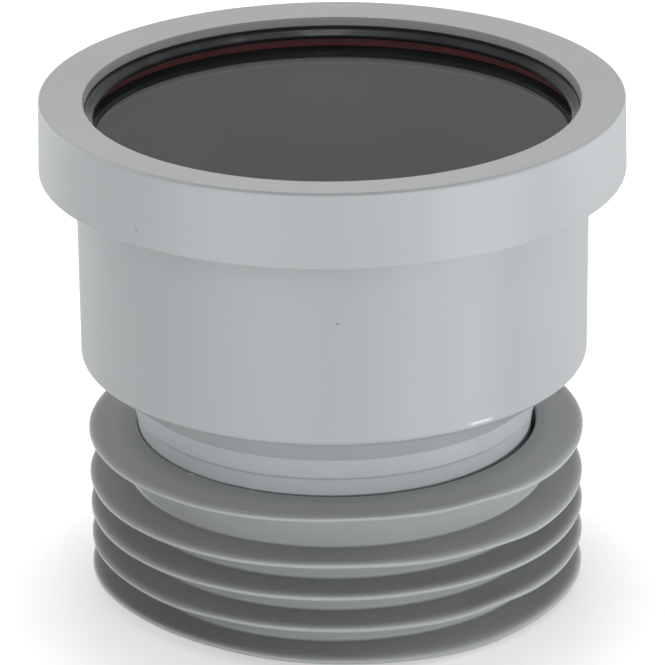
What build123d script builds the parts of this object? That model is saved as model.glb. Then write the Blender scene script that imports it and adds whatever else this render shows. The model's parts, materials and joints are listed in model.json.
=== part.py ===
"""
Ring seal drain connector for a soil pipe: a push-fit socket above, and a
finned rubber seal below that pushes into the bore of a drain.

Five separate pieces, all round the Z axis:
    socket_body         moulded socket, shoulder, neck and spigot in one
    seal_retaining_cap  collar that snaps over the rim and holds the ring seal
    socket_ring_seal    black rubber ring with two wiping lips
    seal_support_ring   stiff ring that keeps the two lips apart
    finned_spigot_seal  grey rubber sleeve with five fins over the spigot

Millimetres. +Z is up, and the part stands on the foot of the rubber sleeve at
Z = 0. Every profile is drawn as (radius, height) points in the XZ plane and
turned once round Z.
"""

from build123d import *
from math import atan2, cos
import os

os.makedirs("parts", exist_ok=True)

# Pipe that the socket takes
pipe_diameter = 110.0
pipe_clearance = 0.4

# Socket and its pipe stop
socket_wall = 2.8
socket_length = 58.3
stop_width = 3.0
stop_rise = 3.2

# Shoulder between the socket and the neck
shoulder_height = 8.9
shoulder_wall = 3.0
shoulder_chamfer = 0.6

# Spigot inside the rubber sleeve
spigot_radius = 45.6
spigot_wall = 2.4

# Neck above the spigot, in two bands with a fine step between them
neck_stand_out = 1.3
neck_taper = 0.5
neck_step = 0.25
neck_upper_band = 4.85
neck_lower_band = 4.15

# Flared seat for the ring seal at the socket's rim
groove_width = 5.5
groove_depth = 7.6
flare_wall = 2.4
ledge_thickness = 3.6

# Cap over the flared seat: its top dips to the mouth, and a bead snaps under the ledge
cap_height = 17.0
cap_flange = 2.2
cap_dip = 0.6
cap_wall = 2.8
cap_draft = 0.4
cap_clearance = 0.1
cap_edge_chamfer = 0.8
mouth_setback = 0.4
mouth_lead_in = 0.5
snap_bead = 1.1

# Ring seal
seal_clearance = 0.1
lip_interference = 1.4
lip_land = 0.5
upper_lip_drop = 1.9
lower_lip_height = 1.4
lower_lip_undercut = 1.7

# Stiff ring in the seal, between its lips
support_ring_setback = 0.5
support_ring_drop = 2.8
support_ring_width = 2.7
support_ring_height = 1.9

# Finned rubber sleeve
sleeve_wall = 2.8
sleeve_fit = 0.1
foot_thickness = 2.0
foot_inset = 0.4
fin_count = 5
fin_radius = 57.2
fin_tip = 0.8
fin_droop = 1.2
fin_pitch = 7.75
top_fin_pitch = 11.3
lowest_fin_height = 2.05

# Heights up from the floor: the fins set the length of the spigot
lower_fin_heights = [lowest_fin_height + i * fin_pitch for i in range(fin_count - 1)]
top_fin_height = lowest_fin_height + (fin_count - 2) * fin_pitch + top_fin_pitch
sleeve_top = top_fin_height + fin_tip / 2 + fin_droop
spigot_end = foot_thickness
neck_bottom = sleeve_top
neck_line = neck_bottom + neck_lower_band
neck_top = neck_line + neck_upper_band
shoulder_top = neck_top + shoulder_height
pipe_stop = shoulder_top + stop_rise
rim = shoulder_top + socket_length
mouth_height = rim + cap_flange
overall_height = mouth_height + cap_dip
cap_foot = overall_height - cap_height
groove_floor = rim - groove_depth
ledge_under = groove_floor - ledge_thickness

# Radii out from the pipe
pipe_radius = pipe_diameter / 2
lip_radius = pipe_radius - lip_interference
socket_bore = pipe_radius + pipe_clearance
socket_radius = socket_bore + socket_wall
stop_radius = socket_bore - stop_width
groove_radius = socket_bore + groove_width
flare_radius = groove_radius + flare_wall
mouth_bottom = socket_bore + mouth_setback
mouth_top = mouth_bottom + mouth_lead_in

# The inner cone of the shoulder keeps one wall thickness from the outer cone
neck_radius = spigot_radius + neck_stand_out
shoulder_run = socket_radius - neck_radius
shoulder_slope = shoulder_height / shoulder_run
inner_cone_lift = shoulder_wall / cos(atan2(shoulder_height, shoulder_run))


def inner_cone_height(radius):
    """Height of the shoulder's inner cone at a radius."""
    return neck_top + (radius - neck_radius) * shoulder_slope + inner_cone_lift


# Socket body: socket, pipe stop, shoulder, neck and spigot as one moulding
spigot_bore = spigot_radius - spigot_wall
lower_band_radius = neck_radius - neck_taper - neck_step

with BuildPart() as socket_body:
    with BuildSketch(Plane.XZ) as body_profile:
        with BuildLine():
            Polyline(
                (groove_radius, rim),
                (flare_radius, rim),
                (flare_radius, ledge_under),
                (socket_radius, ledge_under),
                (socket_radius, shoulder_top),
                (neck_radius, neck_top),
                (neck_radius - neck_taper, neck_line),
                (lower_band_radius, neck_line),
                (spigot_radius, neck_bottom),
                (spigot_radius, spigot_end),
                (spigot_bore, spigot_end),
                (spigot_bore, inner_cone_height(spigot_bore)),
                (stop_radius, inner_cone_height(stop_radius)),
                (stop_radius, pipe_stop),
                (socket_bore, pipe_stop),
                (socket_bore, groove_floor),
                (groove_radius, groove_floor),
                close=True,
            )
        make_face()
        shoulder = body_profile.vertices().sort_by_distance((socket_radius, shoulder_top, 0))[0]
        chamfer(shoulder, shoulder_chamfer)
    revolve(axis=Axis.Z)
socket_body.part.label = "socket_body"
export_step(socket_body.part, "parts/socket_body.step")


# Retaining cap: a flange with a lead-in, a drafted skirt and a snap bead
skirt_inside = flare_radius + cap_clearance
bead_top = ledge_under - cap_clearance
cap_radius = skirt_inside + cap_wall

with BuildPart() as seal_retaining_cap:
    with BuildSketch(Plane.XZ):
        with BuildLine():
            Polyline(
                (mouth_top, mouth_height),
                (cap_radius - cap_edge_chamfer, overall_height),
                (cap_radius, overall_height - cap_edge_chamfer),
                (cap_radius + cap_draft, cap_foot),
                (skirt_inside - snap_bead, cap_foot),
                (skirt_inside - snap_bead, bead_top),
                (skirt_inside, bead_top),
                (skirt_inside, rim),
                (mouth_bottom, rim),
                close=True,
            )
        make_face()
    revolve(axis=Axis.Z)
seal_retaining_cap.part.label = "seal_retaining_cap"
export_step(seal_retaining_cap.part, "parts/seal_retaining_cap.step")


# Support ring: sits in a channel of the ring seal, seen between the two lips
support_inner = socket_bore + support_ring_setback
support_outer = support_inner + support_ring_width
support_top = rim - support_ring_drop
support_bottom = support_top - support_ring_height

with BuildPart() as seal_support_ring:
    with BuildSketch(Plane.XZ):
        with BuildLine():
            Polyline(
                (support_inner, support_bottom),
                (support_outer, support_bottom),
                (support_outer, support_top),
                (support_inner, support_top),
                close=True,
            )
        make_face()
    revolve(axis=Axis.Z)
seal_support_ring.part.label = "seal_support_ring"
export_step(seal_support_ring.part, "parts/seal_support_ring.step")


# Ring seal: a square heel in the groove, with one lip above and one below
seal_outside = groove_radius - seal_clearance
channel_mouth = support_inner + seal_clearance
channel_back = support_outer + seal_clearance
upper_land = rim - upper_lip_drop
lower_land = groove_floor + lower_lip_height

with BuildPart() as socket_ring_seal:
    with BuildSketch(Plane.XZ):
        with BuildLine():
            Polyline(
                (mouth_bottom + seal_clearance, rim),
                (seal_outside, rim),
                (seal_outside, groove_floor),
                (lip_radius + lower_lip_undercut, groove_floor),
                (lip_radius, lower_land - lip_land),
                (lip_radius, lower_land),
                (channel_mouth, support_bottom),
                (channel_back, support_bottom),
                (channel_back, support_top),
                (channel_mouth, support_top),
                (lip_radius, upper_land - lip_land),
                (lip_radius, upper_land),
                close=True,
            )
        make_face()
    revolve(axis=Axis.Z)
socket_ring_seal.part.label = "socket_ring_seal"
export_step(socket_ring_seal.part, "parts/socket_ring_seal.step")


# Finned sleeve: a tube with a foot under the spigot's end, and fins with flat
# undersides whose tops droop to a thin edge
sleeve_bore = spigot_radius + sleeve_fit
sleeve_radius = sleeve_bore + sleeve_wall
foot_bore = spigot_bore + foot_inset

with BuildPart() as finned_spigot_seal:
    with BuildSketch(Plane.XZ):
        with BuildLine():
            Polyline(
                (foot_bore, 0),
                (sleeve_radius, 0),
                (sleeve_radius, top_fin_height - fin_tip / 2),
                (fin_radius, top_fin_height - fin_tip / 2),
                (fin_radius, top_fin_height + fin_tip / 2),
                (sleeve_bore, sleeve_top),
                (sleeve_bore, spigot_end),
                (foot_bore, spigot_end),
                close=True,
            )
        make_face()
        for fin_height in lower_fin_heights:
            fin_under = fin_height - fin_tip / 2
            with BuildLine():
                Polyline(
                    (sleeve_radius, fin_under),
                    (fin_radius, fin_under),
                    (fin_radius, fin_under + fin_tip),
                    (sleeve_radius, fin_under + fin_tip + fin_droop),
                    close=True,
                )
            make_face()
    revolve(axis=Axis.Z)
finned_spigot_seal.part.label = "finned_spigot_seal"
export_step(finned_spigot_seal.part, "parts/finned_spigot_seal.step")
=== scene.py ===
"""
Dresses a ring seal drain connector: a turned socket with its retaining cap,
the black ring seal and its red support ring in the mouth, and a grey rubber
sleeve with five fins below. Each piece replaces one of the plain solids.

Outlines are (radius, height) or (radius, height, round) corners in metres, in
the frame's own axes: +Z up, with the foot of the sleeve at Z = 0.
"""

import json
from math import acos, ceil, cos, pi, radians, sin, sqrt, tan

import bmesh
import bpy
from bpy.props import FloatProperty, FloatVectorProperty, IntProperty, PointerProperty
from mathutils import Matrix, Vector


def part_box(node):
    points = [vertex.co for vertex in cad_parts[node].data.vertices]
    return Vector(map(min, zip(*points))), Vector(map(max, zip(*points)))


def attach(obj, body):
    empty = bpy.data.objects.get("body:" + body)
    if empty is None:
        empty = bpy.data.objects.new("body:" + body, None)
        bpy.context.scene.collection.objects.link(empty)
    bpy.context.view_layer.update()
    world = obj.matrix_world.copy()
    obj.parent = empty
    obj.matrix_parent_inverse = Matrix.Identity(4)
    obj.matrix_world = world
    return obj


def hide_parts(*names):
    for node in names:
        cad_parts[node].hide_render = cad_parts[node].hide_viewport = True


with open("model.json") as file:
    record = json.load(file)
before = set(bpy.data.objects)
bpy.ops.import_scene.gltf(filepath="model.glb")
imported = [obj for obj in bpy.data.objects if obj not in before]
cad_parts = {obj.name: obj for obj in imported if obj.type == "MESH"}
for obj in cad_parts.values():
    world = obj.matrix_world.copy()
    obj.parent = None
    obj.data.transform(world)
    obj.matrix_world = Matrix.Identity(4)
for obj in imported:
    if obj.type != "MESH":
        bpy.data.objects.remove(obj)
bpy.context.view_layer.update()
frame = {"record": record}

bl_info = {
    "name": "Drain connector",
    "version": (1, 0, 0),
    "blender": (4, 5, 0),
    "location": "View3D > Sidebar > Connector",
    "description": "Makes the pieces of a ring seal drain connector with their finishes",
    "category": "Object",
}

MM = 0.001
BODY_LOW, BODY_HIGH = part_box("socket_body")
CAP_LOW, CAP_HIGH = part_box("seal_retaining_cap")
SEAL_LOW, SEAL_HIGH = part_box("socket_ring_seal")
SUPPORT_LOW, SUPPORT_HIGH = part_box("seal_support_ring")
SLEEVE_LOW, SLEEVE_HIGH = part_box("finned_spigot_seal")
MOUNTS = {mount["name"]: mount for mount in frame["record"]["mounts"]}
LIP_RADIUS = MOUNTS["pipe_seal_lips"]["dims"]["r_mm"] * MM


def length(name, millimetres, description):
    """A length that a user can change, with its default in millimetres."""
    value = millimetres * MM
    return FloatProperty(name=name, description=description, default=value, unit="LENGTH", precision=5)


def share(name, value, description):
    """A plain number that a user can change."""
    return FloatProperty(name=name, description=description, default=value, precision=3)


def angle(name, degrees, description):
    """An angle that a user can change, with its default in degrees."""
    return FloatProperty(name=name, description=description, default=radians(degrees), unit="ROTATION")


def colour(name, value, description):
    """A surface colour that a user can change."""
    return FloatVectorProperty(
        name=name, description=description, default=value, subtype="COLOR", min=0, max=1
    )


def bend(name, *values):
    """A bend of the fins' edges, as azimuth, height, rise, spread, and reach up and down."""
    note = name + ": azimuth from the front, height, rise, spread and reach, in degrees and mm"
    return FloatVectorProperty(name=name, description=note, default=values, size=5)


class SocketSizes(bpy.types.PropertyGroup):
    """Sizes of the moulded socket, its shoulder, neck and spigot."""

    bore: length("Bore radius", 55.4, "Radius of the socket's bore")
    wall: length("Wall", 2.8, "Wall of the socket")
    stop_width: length("Stop width", 3.0, "How far the pipe stop stands into the bore")
    stop_rise: length("Stop rise", 3.2, "Height of the pipe stop above the shoulder's top")
    shoulder_height: length("Shoulder height", 8.9, "Height of the cone under the socket")
    shoulder_wall: length("Shoulder wall", 3.0, "Wall of the cone under the socket")
    shoulder_round: length("Shoulder round", 1.6, "Round of the edge under the socket")
    neck_radius: length("Neck radius", 46.9, "Radius at the top of the neck")
    neck_taper: length("Neck taper", 0.5, "How much the neck's upper band narrows")
    neck_step: length("Neck step", 0.25, "Step from the upper band to the lower band")
    upper_band: length("Upper band", 4.85, "Height of the neck's upper band")
    lower_band: length("Lower band", 4.15, "Height of the neck's lower band")
    parting_line: length("Parting line", 0.24, "Depth of the fine line between the bands")
    spigot_radius: length("Spigot radius", 45.6, "Outer radius of the spigot")
    spigot_wall: length("Spigot wall", 2.4, "Wall of the spigot")
    groove_width: length("Groove width", 5.5, "Width of the seat for the ring seal")
    ledge: length("Ledge", 3.6, "Thickness of the ledge under the ring seal")
    bore_round: length("Bore round", 0.3, "Round of the bore's edge under the ring seal")
    edge_round: length("Edge round", 0.35, "Round of the moulding's small edges")


class CapSizes(bpy.types.PropertyGroup):
    """Sizes of the retaining cap round the mouth."""

    flange: length("Flange", 2.2, "Thickness of the flange at the mouth")
    wall: length("Skirt wall", 2.8, "Wall of the skirt at its top")
    draft: length("Draft", 0.4, "How much the skirt widens downwards")
    clearance: length("Clearance", 0.1, "Room between the cap and the socket's rim")
    top_round: length("Top round", 0.45, "Round of the outer top edge")
    foot_round: length("Foot round", 0.5, "Round of the skirt's outer foot")
    mouth_round: length("Mouth round", 0.2, "Round of the edge of the mouth")
    mouth_setback: length("Mouth setback", 0.4, "How far the mouth stands back from the bore")
    mouth_lead_in: length("Mouth lead-in", 0.5, "How much the mouth widens upwards")
    bead: length("Snap bead", 1.1, "Height of the bead that snaps under the ledge")


class SealSizes(bpy.types.PropertyGroup):
    """Sizes of the black ring seal and the red ring in it."""

    clearance: length("Clearance", 0.1, "Room round the support ring and the seal")
    lip_land: length("Lip land", 0.5, "Width of each lip's edge")
    upper_lip_drop: length("Upper lip drop", 1.9, "Drop of the upper lip's edge below the rim")
    lower_lip_height: length("Lower lip height", 1.4, "Height of the lower lip's edge above the groove")
    lower_lip_undercut: length("Lower lip undercut", 1.8, "How far the lower lip is cut back underneath")
    support_width: length("Support ring width", 2.7, "Width of the red ring")
    lip_bulge: length("Lip bulge", 0.25, "How far the upper lip's face stands off a straight line")
    lip_end: length("Lip end", 0.45, "Setback of the corner above the lower lip's edge")
    channel_sag: length("Channel sag", 0.25, "How far the red ring reaches down past the solid")


class SleeveSizes(bpy.types.PropertyGroup):
    """Sizes of the finned rubber sleeve."""

    wall: length("Wall", 2.8, "Wall of the sleeve")
    fit: length("Fit", 0.1, "Room between the sleeve and the spigot")
    foot: length("Foot", 2.0, "Thickness of the foot under the spigot's end")
    foot_inset: length("Foot inset", 0.4, "How far the foot stands back from the spigot's bore")
    foot_round: length("Foot round", 0.8, "Round of the foot's outer edge")
    fin_count: IntProperty(name="Fins", description="Number of fins", default=5, min=2)
    fin_tip: length("Fin tip", 0.8, "Thickness of a fin at its edge")
    fin_droop: length("Fin droop", 1.2, "How far a fin's top falls to its edge")
    fin_slope: share("Fin slope", 0.5, "Share of a fin's droop that is even, not rolled over at its edge")
    fin_roll: share("Fin roll", 15.0, "How late and suddenly a fin's top rolls over at its edge")
    fin_root_round: length("Fin root round", 0.6, "Round where a fin leaves the wall")
    fin_pitch: length("Fin pitch", 7.75, "Step from one lower fin to the next")
    lowest_fin: length("Lowest fin", 2.05, "Height of the lowest fin's edge")
    top_fin_gap: length("Top fin gap", 11.3, "Step from the fourth fin to the top fin")
    fin_wave: length("Fin wave", 0.15, "How much the fins' edges wander up and down")
    front_bend: bend("Upper fins up at the front", 4.0, 31.5, 0.95, 27.0, 9.0)
    right_bend: bend("Upper fins down on the right", 62.0, 30.0, -1.15, 25.0, 9.0)
    middle_bend: bend("Middle fins up a little", 0.0, 15.0, 0.35, 80.0, 9.0)
    low_bend: bend("Lowest fin up on the left", -52.0, 2.0, 1.6, 36.0, 9.0)
    low_right_bend: bend("Lowest fin down on the right", 31.0, 1.0, -0.75, 18.0, 9.0)
    top_bend: bend("Top fin up on the right", 35.5, 36.6, 0.58, 9.5, 3.5)
    second_bend: bend("Second fin down on the right", 21.0, 25.3, -0.55, 13.0, 3.5)
    second_side_bend: bend("Second fin down further right", 52.0, 25.3, -0.4, 9.0, 3.5)
    fourth_bend: bend("Fourth fin up on the right", 40.0, 9.8, 0.6, 8.0, 3.5)
    fourth_left_bend: bend("Fourth fin down on the left", -42.0, 9.8, -0.48, 16.0, 3.5)
    fin_spread: length("Fin spread", 0.2, "How much the fins' edges wander outwards")
    lip_open: length("Lip opening", 0.5, "How far the sleeve's top stands off the neck")
    lip_depth: length("Lip depth", 6.0, "Depth of the opening at the sleeve's top")
    lip_round: length("Lip round", 0.5, "Round of the sleeve's top edge")
    lean: length("Lean", 0.5, "How far the sleeve sits towards +X")


class Finishes(bpy.types.PropertyGroup):
    """Colours of the mouldings and the rubbers."""

    socket: colour("Socket", (0.425, 0.435, 0.445), "Light grey plastic of the socket")
    cap: colour("Cap", (0.43, 0.44, 0.45), "Light grey plastic of the cap")
    ring_seal: colour("Ring seal", (0.0305, 0.032, 0.034), "Black rubber of the ring seal")
    support: colour("Support ring", (0.25, 0.075, 0.078), "Dark red plastic of the support ring")
    sleeve: colour("Sleeve", (0.35, 0.355, 0.36), "Mid grey rubber of the sleeve")


class StageSettings(bpy.types.PropertyGroup):
    """Floor, light and camera."""

    floor: colour("Floor", (0.72, 0.72, 0.72), "Plain pale floor")
    floor_lift: share("Floor lift", 0.5, "Extra brightness of the floor as the camera sees it")
    low_tint: colour("Low lamps' tint", (0.965, 1.0, 1.0), "Colour of the softboxes but the overhead one")
    sky: share("Sky", 0.385, "Strength of the even light from all round")
    overhead: share("Overhead lamp", 9.4, "Power of the softbox above, in watts")
    front_left: share("Front left lamp", 2.5, "Power of the low softbox in front on the left, in watts")
    front_right: share("Front right lamp", 3.8, "Power of the low softbox in front on the right, in watts")
    right: share("Right lamp", 4.6, "Power of the low softbox on the right, in watts")
    left: share("Left lamp", 4.4, "Power of the low softbox on the left, in watts")
    back: share("Back lamp", 2.0, "Power of the wide soft panel behind, in watts")
    focal: share("Focal length", 236.82, "Focal length on a 36 mm sensor")
    camera_back: length("Camera distance", 933.0, "Distance of the camera in front of the axis")
    camera_height: length("Camera height", 441.1, "Height of the camera above the floor")
    pitch: angle("Pitch", 22.29, "Camera tilt down")
    roll: angle("Roll", -0.491, "Camera turn")
    yaw: angle("Yaw", -0.02, "Camera swing")


GROUPS = {
    "connector_socket": SocketSizes,
    "connector_cap": CapSizes,
    "connector_seal": SealSizes,
    "connector_sleeve": SleeveSizes,
    "connector_finish": Finishes,
    "connector_stage": StageSettings,
}

# Outlines

CHORD_ERROR = 0.003 * MM
GUARD = 0.06 * MM
TURN_STEPS = 320

# Largest shares that a round takes of a side, and a guard of what the round leaves
ROUND_SHARE = 0.45
GUARD_SHARE = 0.2


def arc_corner(before, corner, after, radius):
    """Points of an arc that rounds one corner, with a guard point on each side of it."""
    to_before = before - corner
    to_after = after - corner
    side = min(to_before.length, to_after.length)
    to_before.normalize()
    to_after.normalize()
    half = acos(max(-1.0, min(1.0, to_before.dot(to_after)))) / 2
    reach = min(radius / tan(half), ROUND_SHARE * side)
    radius = reach * tan(half)
    middle = corner + (to_before + to_after).normalized() * (radius / sin(half))
    start = corner + to_before * reach - middle
    end = corner + to_after * reach - middle
    turn = pi - 2 * half
    turn_way = 1.0 if start.x * end.y - start.y * end.x > 0 else -1.0
    steps = max(2, ceil(turn / (2 * sqrt(2 * CHORD_ERROR / radius))))
    guard = min(GUARD, GUARD_SHARE * (side - reach))
    points = [middle + start + to_before * guard]
    for step in range(steps + 1):
        points.append(middle + Matrix.Rotation(turn_way * turn * step / steps, 2) @ start)
    points.append(middle + end + to_after * guard)
    return points


def rounded(corners, closed=True):
    """Points along an outline. Each corner that has a round becomes an arc."""
    points = []
    last = len(corners) - 1
    for index, corner in enumerate(corners):
        place = Vector(corner[:2])
        if len(corner) == 2 or (not closed and index in (0, last)):
            points.append(place)
            continue
        before = Vector(corners[index - 1][:2])
        after = Vector(corners[(index + 1) % len(corners)][:2])
        points.extend(arc_corner(before, place, after, corner[2]))
    return points


# Geometry Nodes

AXIS_RADIUS = 10 * MM
JOIN_DISTANCE = 0.002 * MM
FIN_WAVE_SCALE = 28.0
FIN_SPREAD_SCALE = 22.0
SLEEVE_SEED = (3.1, 7.4, 1.9)

# Share of the lip's depth where the lean is full, and share of the lean that a fin's edge loses
FULL_LEAN = 0.3
EDGE_LOSS = 0.4


def add(tree, kind, **settings):
    """A new node in a tree, with its settings."""
    made = tree.nodes.new(kind)
    for name, value in settings.items():
        setattr(made, name, value)
    return made


def feed(tree, target, **sources):
    """Sets a node's inputs by name or by number, as in _0, from sockets or values."""
    for name, source in sources.items():
        socket = target.inputs[int(name[1:]) if name[:1] == "_" else name.replace("_", " ")]
        if isinstance(source, bpy.types.NodeSocket):
            tree.links.new(source, socket)
        else:
            socket.default_value = source
    return target


def wire(tree, kind, **sources):
    """A new node with its inputs fed."""
    return feed(tree, add(tree, kind), **sources)


def calculate(tree, operation, *values, vector=False):
    """Output of a Math node, or of a Vector Math node."""
    kind = "ShaderNodeVectorMath" if vector else "ShaderNodeMath"
    made = add(tree, kind, operation=operation)
    feed(tree, made, **{f"_{index}": value for index, value in enumerate(values)})
    single = operation in ("LENGTH", "DOT_PRODUCT")
    return made.outputs["Value"] if not vector or single else made.outputs["Vector"]


def ramp(tree, value, start, end, shape="LINEAR"):
    """0 up to a start and 1 from an end on."""
    made = add(tree, "ShaderNodeMapRange", interpolation_type=shape)
    return feed(tree, made, Value=value, From_Min=start, From_Max=end).outputs[0]


def level(tree, place):
    """Level part of a place."""
    return calculate(tree, "MULTIPLY", place, (1.0, 1.0, 0.0), vector=True)


def direction(azimuth):
    """Level direction at an azimuth in degrees from the front."""
    return (sin(radians(azimuth)), -cos(radians(azimuth)), 0.0)


def new_tree(name, **inputs):
    """A Geometry Nodes tree with a geometry output, and with inputs given as name and kind."""
    tree = bpy.data.node_groups.new(name, "GeometryNodeTree")
    tree.is_modifier = True
    tree.interface.new_socket("Geometry", in_out="OUTPUT", socket_type="NodeSocketGeometry")
    for label, kind in inputs.items():
        tree.interface.new_socket(label.replace("_", " "), in_out="INPUT", socket_type="NodeSocket" + kind)
    return tree, add(tree, "NodeGroupInput").outputs, add(tree, "NodeGroupOutput")


def end_tree(tree, geometry, finish, result):
    """Ends a tree in real geometry with its finish."""
    real = wire(tree, "GeometryNodeRealizeInstances", Geometry=geometry)
    painted = wire(tree, "GeometryNodeSetMaterial", Geometry=real.outputs[0], Material=finish)
    feed(tree, result, Geometry=painted.outputs[0])
    return tree


def turning_tree():
    """Tree that turns a closed outline in the XZ plane once round the Z axis."""
    known = bpy.data.node_groups.get("Turned outline")
    if known:
        return known
    tree, given, result = new_tree("Turned outline", Outline="Geometry", Steps="Int", Finish="Material")
    outline = wire(tree, "GeometryNodeMeshToCurve", Mesh=given["Outline"])
    place = wire(tree, "ShaderNodeSeparateXYZ", _0=add(tree, "GeometryNodeInputPosition").outputs[0])
    across = calculate(tree, "SUBTRACT", place.outputs["X"], AXIS_RADIUS)
    down = calculate(tree, "MULTIPLY", place.outputs["Z"], -1.0)
    flat = wire(tree, "ShaderNodeCombineXYZ", X=across, Y=down)
    laid = wire(tree, "GeometryNodeSetPosition", Geometry=outline.outputs[0], Position=flat.outputs[0])
    circle = add(tree, "GeometryNodeCurvePrimitiveCircle", mode="RADIUS")
    feed(tree, circle, Resolution=given["Steps"], Radius=AXIS_RADIUS)
    path = feed(tree, add(tree, "GeometryNodeSetCurveNormal", mode="Z_UP"), Curve=circle.outputs["Curve"])
    turned = wire(tree, "GeometryNodeCurveToMesh", Curve=path.outputs[0], Profile_Curve=laid.outputs[0])
    return end_tree(tree, turned.outputs[0], given["Finish"], result)


def noise_between(tree, position, scale, offset):
    """Smooth noise at a position, stretched to run from about -1 to 1."""
    moved = calculate(tree, "ADD", position, offset, vector=True)
    texture = wire(tree, "ShaderNodeTexNoise", Vector=moved, Scale=scale, Detail=1.0)
    return calculate(tree, "MULTIPLY_ADD", texture.outputs[0], 4.0, -2.0)


def bend_rise(tree, outward, height, bending):
    """Rise of the fins' edges round one bend. It fades with the angle and the height away from it."""
    azimuth, middle, rise, spread, reach = bending
    near = calculate(tree, "DOT_PRODUCT", outward, direction(azimuth), vector=True)
    turned = calculate(tree, "SUBTRACT", 1.0, near)
    sideways = calculate(tree, "MULTIPLY", turned, -2 / radians(spread) ** 2)
    above = calculate(tree, "DIVIDE", calculate(tree, "SUBTRACT", height, middle * MM), reach * MM)
    fading = calculate(tree, "SUBTRACT", sideways, calculate(tree, "MULTIPLY", above, above))
    return calculate(tree, "MULTIPLY", calculate(tree, "EXPONENT", fading), rise * MM)


def finned_tree(bends):
    """Tree that repeats a fin's outline up the wall, turns the whole outline and lets the rubber wander."""
    tree, given, result = new_tree(
        "Finned sleeve",
        Outline="Geometry", Lower_Fins="Int", Pitch="Float", Steps="Int",
        Wall_Radius="Float", Fin_Radius="Float", Wave="Float", Spread="Float", Lean="Float",
        Bore_Radius="Float", Lip_Height="Float", Lip_Depth="Float", Seed="Vector", Finish="Material",
    )
    is_fin = feed(tree, add(tree, "GeometryNodeInputNamedAttribute", data_type="BOOLEAN"), Name="fin")
    parts = add(tree, "GeometryNodeSeparateGeometry", domain="POINT")
    feed(tree, parts, Geometry=given["Outline"], Selection=is_fin.outputs["Attribute"])
    step = wire(tree, "ShaderNodeCombineXYZ", Z=given["Pitch"])
    places = add(tree, "GeometryNodeMeshLine", mode="OFFSET")
    feed(tree, places, Count=given["Lower Fins"], Offset=step.outputs[0])
    fin = parts.outputs["Selection"]
    copies = wire(tree, "GeometryNodeInstanceOnPoints", Points=places.outputs[0], Instance=fin)
    fins = wire(tree, "GeometryNodeRealizeInstances", Geometry=copies.outputs[0])
    joined = add(tree, "GeometryNodeJoinGeometry")
    tree.links.new(fins.outputs[0], joined.inputs[0])
    tree.links.new(parts.outputs["Inverted"], joined.inputs[0])
    welded = wire(tree, "GeometryNodeMergeByDistance", Geometry=joined.outputs[0], Distance=JOIN_DISTANCE)
    turned = add(tree, "GeometryNodeGroup", node_tree=turning_tree())
    feed(tree, turned, Outline=welded.outputs[0], Steps=given["Steps"], Finish=given["Finish"])

    position = add(tree, "GeometryNodeInputPosition").outputs[0]
    flat = level(tree, position)
    radius = calculate(tree, "LENGTH", flat, vector=True)
    outward = calculate(tree, "NORMALIZE", flat, vector=True)
    height = wire(tree, "ShaderNodeSeparateXYZ", _0=position).outputs["Z"]
    reach = ramp(tree, radius, given["Wall Radius"], given["Fin Radius"])
    weight = calculate(tree, "MULTIPLY", reach, reach)

    wave = noise_between(tree, position, FIN_WAVE_SCALE, given["Seed"])
    bent = calculate(tree, "MULTIPLY", given["Wave"], wave)
    for bending in bends:
        bent = calculate(tree, "ADD", bent, bend_rise(tree, outward, height, bending))
    rise = calculate(tree, "MULTIPLY", weight, bent)
    swell = calculate(tree, "ABSOLUTE", noise_between(tree, position, FIN_SPREAD_SCALE, given["Seed"]))
    spread = calculate(tree, "MULTIPLY", calculate(tree, "MULTIPLY", weight, given["Spread"]), swell)
    stretched = calculate(tree, "MULTIPLY", outward, spread, vector=True)

    on_wall = ramp(tree, radius, given["Bore Radius"], given["Wall Radius"], "SMOOTHSTEP")
    from_top = calculate(tree, "SUBTRACT", given["Lip Height"], height)
    full = calculate(tree, "MULTIPLY", given["Lip Depth"], FULL_LEAN)
    at_lip = ramp(tree, from_top, given["Lip Depth"], full, "SMOOTHSTEP")
    held_back = calculate(tree, "MULTIPLY_ADD", weight, -EDGE_LOSS, 1.0)
    leaning = calculate(tree, "MULTIPLY", calculate(tree, "MAXIMUM", on_wall, at_lip), held_back)
    sideways = calculate(tree, "MULTIPLY", given["Lean"], leaning)
    shift = wire(tree, "ShaderNodeCombineXYZ", X=sideways, Z=rise).outputs[0]
    offset = calculate(tree, "ADD", shift, stretched, vector=True)
    moved = wire(tree, "GeometryNodeSetPosition", Geometry=turned.outputs[0], Offset=offset)
    return end_tree(tree, moved.outputs[0], given["Finish"], result)


def add_object(name, data):
    """A new object in the scene."""
    made = bpy.data.objects.new(name, data)
    bpy.context.scene.collection.objects.link(made)
    return made


def outline_object(name, *outlines):
    """Object whose mesh holds outlines as edges. Each outline is (corners, closed, is_fin)."""
    vertices, edges, flags = [], [], []
    for corners, closed, is_fin in outlines:
        first = len(vertices)
        points = rounded(corners, closed)
        vertices.extend((point.x, 0.0, point.y) for point in points)
        edges.extend((first + index, first + index + 1) for index in range(len(points) - 1))
        if closed:
            edges.append((len(vertices) - 1, first))
        flags.extend([is_fin] * len(points))
    mesh = bpy.data.meshes.new(name)
    mesh.from_pydata(vertices, edges, [])
    marks = mesh.attributes.new("fin", "BOOLEAN", "POINT")
    marks.data.foreach_set("value", flags)
    return add_object(name, mesh)


def finish_mesh(mesh):
    """Turns a mesh's faces outwards and shades them smooth."""
    shape = bmesh.new()
    shape.from_mesh(mesh)
    bmesh.ops.remove_doubles(shape, verts=shape.verts, dist=JOIN_DISTANCE / 2)
    bmesh.ops.recalc_face_normals(shape, faces=shape.faces)
    for face in shape.faces:
        face.smooth = True
    shape.to_mesh(mesh)
    shape.free()
    mark = mesh.attributes.get("fin")
    if mark:
        mesh.attributes.remove(mark)


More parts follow.
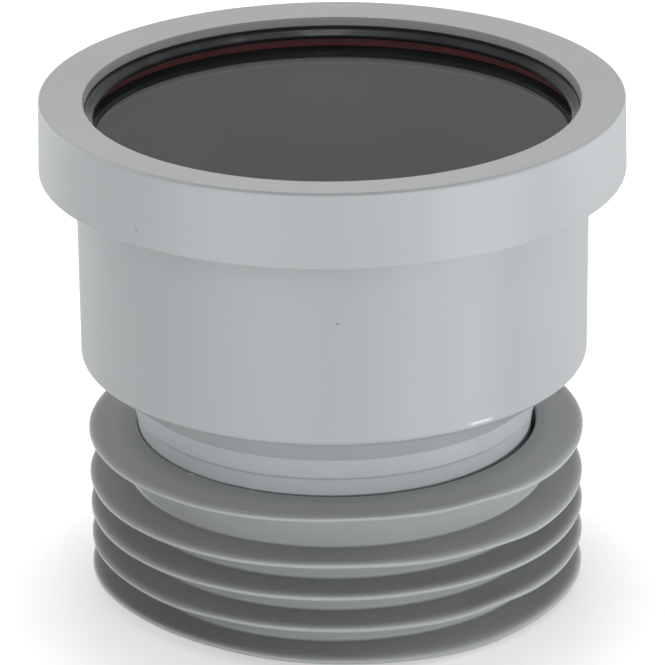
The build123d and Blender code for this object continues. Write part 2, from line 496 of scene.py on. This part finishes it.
def run_tree(name, source, tree, values):
    """Runs a tree on an outline object, takes that away and returns an object of the result."""
    modifier = source.modifiers.new("Shape", "NODES")
    modifier.node_group = tree
    for socket in tree.interface.items_tree:
        if socket.in_out == "INPUT" and socket.name in values:
            modifier[socket.identifier] = values[socket.name]
    bpy.context.view_layer.update()
    evaluated = source.evaluated_get(bpy.context.evaluated_depsgraph_get())
    mesh = bpy.data.meshes.new_from_object(evaluated)
    mesh.name = name
    source.modifiers.remove(modifier)
    bpy.data.objects.remove(source)
    finish_mesh(mesh)
    return add_object(name, mesh)


def turned_piece(name, corners, material):
    """A piece that is one closed outline turned round the axis."""
    source = outline_object(name + "_outline", (corners, True, False))
    return run_tree(name, source, turning_tree(), {"Steps": TURN_STEPS, "Finish": material})


def place(piece, node, slot):
    """Puts a finished piece into the frame in place of its plain solid."""
    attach(piece, "root")
    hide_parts(node)


# Finishes

FINE = 1.0 / (0.35 * MM)
BLOTCH = 1.0 / (38 * MM)
WHITE = (1.0, 1.0, 1.0, 1.0)

# Painted sheens: pale upright bands of painted highlight on the walls, as (azimuth from the front and
# spread in degrees, brightness)
SOCKET_SHEENS = ((28.5, 15.0, 1.1),)
CAP_SHEENS = ((29.8, 13.0, 1.145), (-33.0, 27.0, 1.06))

# Marks as (middle, reach) in millimetres
# painted glint: a pale streak painted on the socket's lower round edge, as (middle, reach)
SOCKET_GLINT = ((32.1, -48.1, 57.0), (3.6, 3.6, 3.6))
SOCKET_PIT = ((0.8, -58.2, 84.5), (0.5, 0.5, 0.4))
CAP_PIT = ((-42.4, -51.1, 103.9), (0.5, 0.5, 0.4))
FIN_SCRATCH = ((-54.0, -10.0, 3.8), (2.6, 0.5, 2.0))
NICK_REACH = (0.7, 0.7, 0.6)
LIP_NICKS = ((-32.2, -33.4, 38.2), (-18.6, -42.5, 38.1), (26.0, -38.5, 37.9))

# Spots with their share of shine
POLISHED_SPOTS = (
    ((-1.5, 54.0, 113.5), (9.0, 5.0, 1.6), 0.09),
    ((-22.5, 49.5, 113.4), (3.2, 4.0, 1.6), 0.17),
    ((-32.0, 43.2, 113.4), (3.5, 4.0, 1.6), 0.15),
    ((-40.5, 35.4, 113.4), (3.5, 4.0, 1.6), 0.2),
    ((-1.5, 53.8, 108.4), (3.2, 4.0, 1.0), 0.2),
)

# Where the painted shadow under the cap, the painted dark reflection on the cap's corner, the painted shade
# of the lower fins and the shine of the seal's sides come in or fade, in metres
CAP_SHADOW_ACROSS = (0.0, 26 * MM)
CAP_SHADOW_BACK = (-50 * MM, -20 * MM)
CAP_SHADOW_DOWN = (10 * MM, 2.5 * MM)
DARK_REFLECTION_FRONT = (-66 * MM, -25 * MM)
DARK_REFLECTION_CORNER = (1.3 * MM, 0.45 * MM)
LOW_FIN_SHADE = (18 * MM, 34 * MM)
SHINY_SIDES = (44 * MM, 54 * MM)


class Finish:
    """A material in the making: its tree, its shader, its own colour and its object coordinates."""

    def __init__(self, name, value, roughness, specular=0.5):
        self.material = bpy.data.materials.new(name)
        self.material.use_nodes = True
        self.tree = self.material.node_tree
        self.shader = self.tree.nodes["Principled BSDF"]
        self.value = value
        self.place = add(self.tree, "ShaderNodeTexCoord").outputs["Object"]
        self.show(Roughness=roughness, Specular_IOR_Level=specular)

    def show(self, **sources):
        """Feeds the shader's inputs and returns the material."""
        feed(self.tree, self.shader, **sources)
        return self.material

    def shade(self, factor):
        """The finish's own colour with every channel scaled."""
        return tuple(channel * factor for channel in self.value[:3]) + (1.0,)

    def noise(self, scale, detail=2.0, stretch=(1.0, 1.0, 1.0), place=None):
        """Noise over the object, stretched along its axes."""
        spread = wire(self.tree, "ShaderNodeMapping", Vector=place or self.place, Scale=stretch)
        source = spread.outputs[0]
        return wire(self.tree, "ShaderNodeTexNoise", Vector=source, Scale=scale, Detail=detail).outputs[0]

    def between(self, value, low, high, start=0.3, end=0.7):
        """A value mapped from one range to another."""
        ranged = add(self.tree, "ShaderNodeMapRange")
        feed(self.tree, ranged, Value=value, From_Min=start, From_Max=end, To_Min=low, To_Max=high)
        return ranged.outputs[0]

    def rising(self, value, start=0.3, end=0.7):
        """0 up to a start and 1 from an end on."""
        return self.between(value, 0.0, 1.0, start, end)

    def falling(self, value, start, end):
        """1 up to a start and 0 from an end on."""
        return self.between(value, 1.0, 0.0, start, end)

    def mix(self, amount, first, second):
        """A colour between two, by an amount."""
        mixer = add(self.tree, "ShaderNodeMix", data_type="RGBA")
        return feed(self.tree, mixer, _0=amount, _6=first, _7=second).outputs[2]

    def cloudy(self, amount, dark, pale):
        """The own colour between two brightnesses, by a noise."""
        return self.mix(self.rising(amount), self.shade(dark), self.shade(pale))

    def layered(self, body, *layers):
        """A colour under layers of the own colour, each as (amount, brightness)."""
        for amount, brightness in layers:
            body = self.mix(amount, body, self.shade(brightness))
        return body

    def specks(self, size, spacing):
        """Small round spots, scattered, as 1 inside a spot and 0 outside."""
        cells = wire(self.tree, "ShaderNodeTexVoronoi", Vector=self.place, Scale=1.0 / spacing)
        return self.falling(cells.outputs["Distance"], size / spacing * 0.6, size / spacing)

    def mark(self, middle, reach):
        """1 near a point in millimetres and 0 beyond a reach in millimetres along each axis."""
        point = tuple(value * MM for value in middle)
        size = tuple(value * MM for value in reach)
        offset = calculate(self.tree, "SUBTRACT", self.place, point, vector=True)
        scaled = calculate(self.tree, "DIVIDE", offset, size, vector=True)
        return self.falling(calculate(self.tree, "LENGTH", scaled, vector=True), 0.5, 1.0)

    def line(self, height, half):
        """1 at a height and 0 from half a line's width away."""
        away = calculate(self.tree, "ABSOLUTE", calculate(self.tree, "SUBTRACT", self.height(), height))
        return self.falling(away, half * 0.4, half)

    def facing(self, azimuth, spread):
        """1 at an azimuth from the front and 0 from a spread away, both in degrees."""
        outward = calculate(self.tree, "NORMALIZE", level(self.tree, self.place), vector=True)
        near = calculate(self.tree, "DOT_PRODUCT", outward, direction(azimuth), vector=True)
        return self.rising(near, cos(radians(spread)), 1.0)

    def both(self, first, second):
        """Product of two amounts."""
        return calculate(self.tree, "MULTIPLY", first, second)

    def radius(self):
        """Distance from the axis."""
        return calculate(self.tree, "LENGTH", level(self.tree, self.place), vector=True)

    def along(self, axis):
        """Coordinate along one axis, as a letter."""
        return wire(self.tree, "ShaderNodeSeparateXYZ", _0=self.place).outputs[axis]

    def height(self):
        """Height above the floor."""
        return self.along("Z")

    def along_ring(self, radius):
        """Coordinates that run along the ring, up and outwards, in metres."""
        axes = wire(self.tree, "ShaderNodeSeparateXYZ", _0=self.place).outputs
        turn = calculate(self.tree, "ARCTAN2", axes["Y"], axes["X"])
        along = calculate(self.tree, "MULTIPLY", turn, radius)
        ring = wire(self.tree, "ShaderNodeCombineXYZ", X=along, Y=axes["Z"], Z=self.radius())
        return ring.outputs[0]

    def bump(self, *layers):
        """Chains bumps of (height, depth in metres) onto the shader's normal."""
        normal = None
        for height, depth in layers:
            node = wire(self.tree, "ShaderNodeBump", Height=height, Distance=depth, Strength=1.0)
            if normal:
                self.tree.links.new(normal, node.inputs["Normal"])
            normal = node.outputs[0]
        self.tree.links.new(normal, self.shader.inputs["Normal"])


def satin_plastic(name, value, roughness, flow, painted_sheens, sheen_top):
    """Moulded polypropylene: fine spark texture, soft mottling and faint vertical flow marks.

    Painted sheens are pale upright stripes of painted highlight below a height, each as (azimuth, spread,
    brightness).
    Returns the finish, and its colour and roughness for the caller to change and show.
    """
    finish = Finish(name, value, roughness)
    body = finish.cloudy(finish.noise(BLOTCH, 3.0), 0.985, 1.015)
    # painted highlight: pale upright bands on the walls below a height
    upright = finish.falling(finish.height(), sheen_top - 0.4 * MM, sheen_top)
    for azimuth, spread, brightness in painted_sheens:
        body = finish.layered(body, (finish.both(upright, finish.facing(azimuth, spread)), brightness))
    streaks = finish.between(finish.noise(BLOTCH * 2.2, 2.0, (1.0, 1.0, 0.08)), 0.0, flow, 0.45, 0.75)
    body = finish.layered(body, (streaks, 0.93), (finish.specks(0.22 * MM, 19 * MM), 0.55))
    rough = finish.between(finish.noise(BLOTCH * 1.6, 4.0), roughness - 0.04, roughness + 0.04)
    finish.bump((finish.noise(FINE, 2.0), 0.006 * MM), (finish.noise(BLOTCH * 5, 1.0), 0.03 * MM))
    return finish, body, rough


def socket_plastic(name, value, sizes, neck_line, shoulder):
    """Socket plastic with a pit, painted shade on the neck's lower band, at its parting line and under the
    shoulder's edge, a painted glint on the lower round edge, a pale painted highlight line in the bore and
    a painted shadow under the cap.
    """
    finish, body, rough = satin_plastic(name, value, 0.36, 0.5, SOCKET_SHEENS, BODY_HIGH.z)
    radius, height = finish.radius(), finish.height()
    neck = sizes.neck_radius - 2.4 * MM
    outside = finish.rising(radius, neck, neck + 0.2 * MM)
    inside = finish.falling(radius, sizes.bore + 0.5 * MM, sizes.bore + 0.7 * MM)
    below = finish.falling(height, neck_line - 0.1 * MM, neck_line + 0.1 * MM)
    # painted glint: a pale streak along the socket's lower round edge
    glint = finish.both(finish.mark(*SOCKET_GLINT), finish.line(SOCKET_GLINT[0][2] * MM, 0.36 * MM))
    # painted shadow under the cap, strongest on the front left
    across = finish.falling(finish.along("X"), *CAP_SHADOW_ACROSS)
    left = finish.both(across, finish.falling(finish.along("Y"), *CAP_SHADOW_BACK))
    near = finish.rising(height, *(CAP_LOW.z - drop for drop in CAP_SHADOW_DOWN))
    body = finish.layered(
        body,
        # painted shade: the neck's lower band a little darker
        (finish.both(outside, below), 0.95),
        # painted shade in the step of the parting line
        (finish.both(outside, finish.line(neck_line, 0.6 * MM)), 0.84),
        # painted shade on the cone just under the shoulder's round edge
        (finish.both(outside, finish.line(shoulder - 0.9 * MM, 0.7 * MM)), 0.86),
        # painted glint
        (glint, 1.9),
        (finish.mark(*SOCKET_PIT), 0.6),
        # painted highlight: a pale line along an edge in the bore under the seal
        (finish.both(inside, finish.line(SEAL_LOW.z - 1.4 * MM, 0.4 * MM)), 1.2),
        # painted shadow under the cap
        (finish.both(left, finish.both(near, near)), 0.88),
    )
    return finish.show(Base_Color=body, Roughness=rough)


def cap_plastic(name, value, edge_radius, edge_height):
    """Cap plastic with a dark pit, and with a painted dark reflection along the outer top corner that is
    strongest in front.
    """
    finish, body, rough = satin_plastic(name, value, 0.44, 0.2, CAP_SHEENS, CAP_HIGH.z - 0.5 * MM)
    outer = finish.rising(finish.radius(), edge_radius, edge_radius + 0.25 * MM)
    upper = finish.rising(finish.height(), edge_height, edge_height + 0.25 * MM)
    # painted dark reflection along the outer top corner, fading away from the front
    front = finish.falling(finish.along("Y"), *DARK_REFLECTION_FRONT)
    corner = finish.both(outer, upper)
    dark_reflection = finish.both(corner, finish.both(front, front))
    body = finish.layered(body, (dark_reflection, 0.66), (finish.mark(*CAP_PIT), 0.65))
    dull = calculate(finish.tree, "MULTIPLY_ADD", corner, 0.35, rough)
    return finish.show(Base_Color=body, Roughness=dull)


def matt_rubber(name, value, edge):
    """Grey sleeve rubber: fine grain, cloudy tone, dust and marks, painted shade on the walls between the
    fins and on the lower fins, painted light on the upper fin tops and a painted highlight at the fins'
    edges.
    """
    finish = Finish(name, value, 0.5)
    radius = finish.radius()
    cloud = finish.noise(BLOTCH * 1.4, 4.0)
    dusted = finish.layered(finish.cloudy(cloud, 0.96, 1.04), (finish.specks(0.16 * MM, 9 * MM), 1.5))
    # painted shade on the walls between the fins and on the lower fins, painted light on the upper fin tops
    on_fin = finish.rising(radius, edge - 9.0 * MM, edge - 6.0 * MM)
    low = finish.falling(finish.height(), *LOW_FIN_SHADE)
    shaded_walls = finish.mix(low, finish.shade(0.89), finish.shade(0.8))
    fins = finish.mix(low, finish.shade(1.12), finish.shade(0.96))
    dust_and_shade = finish.mix(0.7, dusted, finish.mix(on_fin, shaded_walls, fins))
    # painted highlight along the fins' edges
    edge_highlight = finish.rising(radius, edge - 0.5 * MM, edge)
    nicks = [(finish.mark(nick, NICK_REACH), 1.6) for nick in LIP_NICKS]
    body = finish.layered(dust_and_shade, (edge_highlight, 1.15), (finish.mark(*FIN_SCRATCH), 1.2), *nicks)
    finish.bump((finish.noise(FINE * 0.8, 3.0), 0.012 * MM), (finish.noise(BLOTCH * 7, 2.0), 0.05 * MM))
    return finish.show(Base_Color=body, Roughness=finish.between(cloud, 0.46, 0.56))


def black_rubber(name, value):
    """Ring seal rubber: black, polished at the sides and in spots, with painted shade on the upper lip's
    edge.
    """
    finish = Finish(name, value, 0.2, 0.07)
    ring = finish.along_ring(LIP_RADIUS)
    patches = finish.noise(BLOTCH * 10, 5.0, (0.25, 1.5, 1.5), ring)
    # painted shade on the upper lip's edge
    nose_shade = finish.line(SEAL_HIGH.z - 2.2 * MM, 0.6 * MM)
    body = finish.layered(finish.cloudy(patches, 1.0, 1.5), (nose_shade, 0.35))
    across = calculate(finish.tree, "ABSOLUTE", finish.along("X"))
    shine = finish.between(across, 0.035, 0.4, *SHINY_SIDES)
    for middle, reach, amount in POLISHED_SPOTS:
        polish = finish.both(finish.mark(middle, reach), amount)
        shine = calculate(finish.tree, "MAXIMUM", shine, polish)
    finish.bump(
        (finish.noise(BLOTCH * 70, 3.0, (0.15, 1.0, 1.0), ring), 0.05 * MM),
        (finish.noise(BLOTCH * 50, 2.0, place=ring), 0.06 * MM),
        (finish.noise(BLOTCH * 12, 2.0, (0.3, 1.0, 1.0), ring), 0.1 * MM),
    )
    rough = finish.between(patches, 0.12, 0.26)
    return finish.show(Base_Color=body, Roughness=rough, Specular_IOR_Level=shine)


def red_plastic(name, value):
    """Support ring plastic: dull dark red."""
    finish = Finish(name, value, 0.45)
    finish.bump((finish.noise(FINE * 0.6, 2.0), 0.01 * MM))
    return finish.show(Base_Color=finish.cloudy(finish.noise(BLOTCH * 4, 3.0), 0.85, 1.15))


# Pieces

# Share of a pitch by which the repeated outline starts below its fin, and points along a fin's top
PATTERN_DROP = 0.13
FIN_TOP_STEPS = 10
FIN_TOP_CROWDING = 1.9


class MakeSocket(bpy.types.Operator):
    """Makes the moulded socket with its shoulder, neck and spigot"""

    bl_idname = "connector.make_socket"
    bl_label = "Socket"

    def execute(self, context):
        s = context.scene.connector_socket
        rim, spigot_end = BODY_HIGH.z, BODY_LOW.z
        flare = BODY_HIGH.x
        groove = s.bore + s.groove_width
        groove_floor = SEAL_LOW.z
        ledge_under = groove_floor - s.ledge
        outside = s.bore + s.wall
        neck_bottom = SLEEVE_HIGH.z
        neck_line = neck_bottom + s.lower_band
        neck_top = neck_line + s.upper_band
        shoulder_top = neck_top + s.shoulder_height
        run = outside - s.neck_radius
        slope = s.shoulder_height / run
        lift = s.shoulder_wall * sqrt(1 + slope * slope)
        spigot_bore = s.spigot_radius - s.spigot_wall
        stop_radius = s.bore - s.stop_width
        stop_top = shoulder_top + s.stop_rise
        upper_foot = s.neck_radius - s.neck_taper
        lower_band = upper_foot - s.neck_step
        e = s.edge_round
        fine = 0.06 * MM
        line = s.parting_line

        def inner_cone(radius):
            return neck_top + (radius - s.neck_radius) * slope + lift

        corners = [
            (groove, rim, e),
            (flare, rim, e),
            (flare, ledge_under, e),
            (outside, ledge_under, e),
            (outside, shoulder_top, s.shoulder_round),
            (s.neck_radius, neck_top, 2 * e),
            (upper_foot, neck_line + line, fine),
            (lower_band - line, neck_line, fine),
            (lower_band, neck_line - line, fine),
            (s.spigot_radius, neck_bottom, e),
            (s.spigot_radius, spigot_end, 2 * e),
            (spigot_bore, spigot_end, e),
            (spigot_bore, inner_cone(spigot_bore), 2 * e),
            (stop_radius, inner_cone(stop_radius), e),
            (stop_radius, stop_top, e),
            (s.bore, stop_top, e),
            (s.bore, groove_floor, s.bore_round),
            (groove, groove_floor, e),
        ]
        value = context.scene.connector_finish.socket
        finish = socket_plastic("socket_plastic", value, s, neck_line, shoulder_top)
        place(turned_piece("socket", corners, finish), "socket_body", "socket_plastic")
        return {"FINISHED"}


class MakeCap(bpy.types.Operator):
    """Makes the retaining cap round the mouth"""

    bl_idname = "connector.make_cap"
    bl_label = "Retaining cap"

    def execute(self, context):
        s = context.scene.connector_cap
        rim, top, foot = SEAL_HIGH.z, CAP_HIGH.z, CAP_LOW.z
        mouth = context.scene.connector_socket.bore + s.mouth_setback
        skirt = BODY_HIGH.x + s.clearance
        outside = skirt + s.wall
        ledge_under = SEAL_LOW.z - context.scene.connector_socket.ledge
        bead_top = ledge_under - s.clearance
        slight = s.foot_round / 2
        corners = [
            (mouth + s.mouth_lead_in, rim + s.flange, s.mouth_round),
            (outside, top, s.top_round),
            (outside + s.draft, foot, s.foot_round),
            (skirt - s.bead, foot, slight),
            (skirt - s.bead, bead_top, slight),
            (skirt, bead_top, s.clearance),
            (skirt, rim, s.clearance),
            (mouth, rim, slight),
        ]
        value = context.scene.connector_finish.cap
        # where the painted dark reflection on the top corner begins
        across, down = DARK_REFLECTION_CORNER
        finish = cap_plastic("cap_plastic", value, outside - across, top - down)
        place(turned_piece("retaining_cap", corners, finish), "seal_retaining_cap", "cap_plastic")
        return {"FINISHED"}


class MakeRingSeal(bpy.types.Operator):
    """Makes the black ring seal and the red ring between its lips"""

    bl_idname = "connector.make_ring_seal"
    bl_label = "Ring seal"

    def execute(self, context):
        s = context.scene.connector_seal
        cap = context.scene.connector_cap
        finishes = context.scene.connector_finish
        rim, floor = SEAL_HIGH.z, SEAL_LOW.z
        mouth = context.scene.connector_socket.bore + cap.mouth_setback
        support_outer = SUPPORT_HIGH.x
        support_inner = support_outer - s.support_width
        channel_mouth = support_inner + s.clearance
        channel_back = support_outer + s.clearance
        upper_land = rim - s.upper_lip_drop
        lower_land = floor + s.lower_lip_height
        soft = ROUND_SHARE * s.lip_land
        channel_floor = SUPPORT_LOW.z - s.channel_sag
        slight = 2 * s.clearance
        heel = (mouth + s.clearance, rim)
        corners = [
            heel + (slight,),
            (SEAL_HIGH.x, rim, slight),
            (SEAL_HIGH.x, floor, slight),
            (LIP_RADIUS + s.lower_lip_undercut, floor, slight),
            (LIP_RADIUS, lower_land - s.lip_land, soft),
            (LIP_RADIUS + s.lip_end, lower_land + 0.8 * s.lip_end, soft),
            (channel_mouth, channel_floor, s.clearance),
            (channel_back, channel_floor, s.clearance),
            (channel_back, SUPPORT_HIGH.z, s.clearance),
            (channel_mouth, SUPPORT_HIGH.z, s.clearance),
            (LIP_RADIUS, upper_land - s.lip_land, soft),
            (LIP_RADIUS + s.lip_end, upper_land + s.lip_bulge, 2 * s.lip_land),
            (heel[0] - s.clearance, rim - 3 * s.lip_bulge, s.lip_land),
        ]
        seal = turned_piece("ring_seal", corners, black_rubber("ring_seal_rubber", finishes.ring_seal))
        place(seal, "socket_ring_seal", "ring_seal_rubber")

        band = [
            (support_inner, channel_floor, slight),
            (support_outer, channel_floor, s.clearance),
            (support_outer, SUPPORT_HIGH.z, s.clearance),
            (support_inner, SUPPORT_HIGH.z, slight),
        ]
        ring = turned_piece("support_ring", band, red_plastic("support_ring_plastic", finishes.support))
        place(ring, "seal_support_ring", "support_ring_plastic")
        return {"FINISHED"}


class MakeFinnedSleeve(bpy.types.Operator):
    """Makes the grey rubber sleeve with its fins"""

    bl_idname = "connector.make_finned_sleeve"
    bl_label = "Finned sleeve"

    def execute(self, context):
        s = context.scene.connector_sleeve
        socket = context.scene.connector_socket
        bore = socket.spigot_radius + s.fit
        wall = bore + s.wall
        edge = SLEEVE_HIGH.x
        foot_bore = socket.spigot_radius - socket.spigot_wall + s.foot_inset
        half_tip = s.fin_tip / 2
        tip_round = ROUND_SHARE * s.fin_tip
        top = SLEEVE_HIGH.z
        first = s.lowest_fin - s.fin_pitch * PATTERN_DROP
        last = first + (s.fin_count - 1) * s.fin_pitch
        top_fin = s.lowest_fin + (s.fin_count - 2) * s.fin_pitch + s.top_fin_gap
        r = s.fin_root_round

        def fin_top(height, root_top):
            """Top of a fin from its edge back to its root: an even slope, rolled over at the edge."""
            corners = []
            drop = root_top - height - half_tip
            for step in range(1, FIN_TOP_STEPS):
                out = 1 - (step / FIN_TOP_STEPS) ** FIN_TOP_CROWDING
                fall = s.fin_slope * out + (1 - s.fin_slope) * out ** s.fin_roll
                corners.append((wall + (edge - wall) * out, root_top - drop * fall))
            return corners

        def fin(height, root_top):
            """Underside, edge and top of a fin."""
            under = height - half_tip
            return [
                (wall, under, r / 2),
                (edge, under, tip_round),
                (edge, height + half_tip, tip_round),
                *fin_top(height, root_top),
            ]

        lowest = s.lowest_fin
        root_top = lowest + half_tip + s.fin_droop
        repeated = [(wall, first), *fin(lowest, root_top), (wall, root_top, r), (wall, first + s.fin_pitch)]
        rest = [
            (wall, last),
            *fin(top_fin, top - s.fit),
            (wall, top - s.fit, r),
            (bore + s.lip_open, top, s.lip_round),
            (bore + s.lip_open, top - s.lip_depth / 2, s.lip_depth / 4),
            (bore, top - s.lip_depth, s.lip_depth / 4),
            (bore, s.foot, s.fit),
            (foot_bore, s.foot, 2 * s.fit),
            (foot_bore, 0.0, 2 * s.fit),
            (wall, 0.0, s.foot_round),
            (wall, first),
        ]
        source = outline_object("finned_sleeve_outline", (repeated, False, True), (rest, False, False))
        colour_value = context.scene.connector_finish.sleeve
        values = {
            "Lower Fins": s.fin_count - 1,
            "Pitch": s.fin_pitch,
            "Steps": TURN_STEPS,
            "Wall Radius": wall,
            "Fin Radius": edge,
            "Wave": s.fin_wave,
            "Spread": s.fin_spread,
            "Lean": s.lean,
            "Bore Radius": bore + s.fit,
            "Lip Height": top,
            "Lip Depth": s.lip_depth,
            "Seed": SLEEVE_SEED,
            "Finish": matt_rubber("finned_seal_rubber", colour_value, edge),
        }
        bends = [getattr(s, name) for name in s.bl_rna.properties.keys() if name.endswith("_bend")]
        piece = run_tree("finned_sleeve", source, finned_tree(bends), values)
        place(piece, "finned_spigot_seal", "finned_seal_rubber")
        return {"FINISHED"}


# Stage

FLOOR_HALF = 3.0
LOW_SIZE = (0.6, 0.13)

# Softboxes as (place, width and height) in metres. Each name is the setting of the power.
SOFTBOXES = {
    "overhead": ((0.0, 0.2, 1.4), (0.45, 0.45)),
    "front_left": ((-0.6, -0.8, 0.07), LOW_SIZE),
    "front_right": ((0.54, -0.84, 0.07), LOW_SIZE),
    "right": ((0.96, 0.29, 0.07), LOW_SIZE),
    "left": ((-0.77, 0.64, 0.07), LOW_SIZE),
    "back": ((0.0, 1.3, 0.17), (1.8, 0.34)),
}


def split_by_camera(tree, end, others, camera):
    """Ends a tree so that the camera sees one shader and all other rays another."""
    seen = add(tree, "ShaderNodeLightPath").outputs["Is Camera Ray"]
    mixer = wire(tree, "ShaderNodeMixShader", _0=seen, _1=others.outputs[0], _2=camera.outputs[0])
    feed(tree, tree.nodes[end], Surface=mixer.outputs[0])


def floor_paint(value, lift):
    """Pale floor that the camera sees a little brighter than it lights the object."""
    finish = Finish("pale_floor", value, 0.9, 0.1)
    finish.show(Base_Color=finish.shade(1.0))
    glow = wire(finish.tree, "ShaderNodeEmission", Color=WHITE, Strength=lift)
    both = wire(finish.tree, "ShaderNodeAddShader", _0=finish.shader.outputs[0], _1=glow.outputs[0])
    split_by_camera(finish.tree, "Material Output", finish.shader, both)
    return finish.material


def softbox(name, place, size, power, tint):
    """Area lamp at a place, aimed at the middle of the object. Size is its width and height."""
    lamp = bpy.data.lights.new(name, "AREA")
    lamp.color = tint[:3]
    lamp.shape = "RECTANGLE"
    lamp.size, lamp.size_y = size
    lamp.energy = power
    holder = add_object(name, lamp)
    holder.location = place
    aim = Vector((0.0, 0.0, CAP_HIGH.z / 2)) - Vector(place)
    holder.rotation_euler = aim.to_track_quat("-Z", "Y").to_euler()


def even_sky(strength):
    """World that lights evenly at one strength and is white to the camera."""
    world = bpy.data.worlds.new("even_sky")
    bpy.context.scene.world = world
    world.use_nodes = True
    tree = world.node_tree
    glow = feed(tree, tree.nodes["Background"], Color=WHITE, Strength=strength)
    white = wire(tree, "ShaderNodeBackground", Color=WHITE, Strength=1.0)
    split_by_camera(tree, "World Output", glow, white)


def photo_camera(stage):
    """Camera at the photograph's place and angle."""
    flat = cos(stage.pitch)
    forward = Vector((sin(stage.yaw) * flat, cos(stage.yaw) * flat, -sin(stage.pitch)))
    right = Vector((cos(stage.yaw), -sin(stage.yaw), 0.0))
    up = right.cross(forward)
    across = cos(stage.roll) * right + sin(stage.roll) * up
    upward = cos(stage.roll) * up - sin(stage.roll) * right
    lens = bpy.data.cameras.new("photo_camera")
    lens.sensor_fit = "HORIZONTAL"
    lens.sensor_width = 36.0
    lens.lens = stage.focal
    lens.clip_start = 0.05
    lens.clip_end = 20.0
    camera = add_object("photo_camera", lens)
    turn = Matrix((across, upward, -forward)).transposed()
    place = Matrix.Translation((0.0, -stage.camera_back, stage.camera_height))
    camera.matrix_world = place @ turn.to_4x4()
    bpy.context.scene.camera = camera


class MakeStage(bpy.types.Operator):
    """Makes the pale floor, the soft light and the camera"""

    bl_idname = "connector.make_stage"
    bl_label = "Stage"

    def execute(self, context):
        stage = context.scene.connector_stage
        mesh = bpy.data.meshes.new("floor")
        sides = ((-1, -1), (1, -1), (1, 1), (-1, 1))
        mesh.from_pydata([(x * FLOOR_HALF, y * FLOOR_HALF, 0) for x, y in sides], [], [(0, 1, 2, 3)])
        mesh.materials.append(floor_paint(stage.floor, stage.floor_lift))
        add_object("floor", mesh)
        even_sky(stage.sky)
        for name, (place, size) in SOFTBOXES.items():
            tint = WHITE if name == "overhead" else stage.low_tint
            softbox(name + "_softbox", place, size, getattr(stage, name), tint)
        photo_camera(stage)
        context.scene.view_settings.view_transform = "Standard"
        return {"FINISHED"}


class ConnectorPanel(bpy.types.Panel):
    """Lists the pieces and the stage in the 3D view's sidebar"""

    bl_idname = "VIEW3D_PT_drain_connector"
    bl_label = "Drain connector"
    bl_space_type = "VIEW_3D"
    bl_region_type = "UI"
    bl_category = "Connector"

    def draw(self, context):
        for operator in OPERATORS:
            self.layout.operator(operator.bl_idname)
        for name in GROUPS:
            box = self.layout.box()
            group = getattr(context.scene, name)
            for setting in group.bl_rna.properties:
                if setting.identifier not in ("name", "rna_type"):
                    box.prop(group, setting.identifier)


OPERATORS = (MakeSocket, MakeCap, MakeRingSeal, MakeFinnedSleeve, MakeStage)


def register():
    for group in GROUPS.values():
        bpy.utils.register_class(group)
    for name, group in GROUPS.items():
        setattr(bpy.types.Scene, name, PointerProperty(type=group))
    for operator in OPERATORS:
        bpy.utils.register_class(operator)
    bpy.utils.register_class(ConnectorPanel)


def unregister():
    bpy.utils.unregister_class(ConnectorPanel)
    for operator in OPERATORS:
        bpy.utils.unregister_class(operator)
    for name, group in GROUPS.items():
        delattr(bpy.types.Scene, name)
        bpy.utils.unregister_class(group)


def main():
    register()
    bpy.ops.connector.make_socket()
    bpy.ops.connector.make_cap()
    bpy.ops.connector.make_ring_seal()
    bpy.ops.connector.make_finned_sleeve()
    bpy.ops.connector.make_stage()


if __name__ == "__main__":
    main()
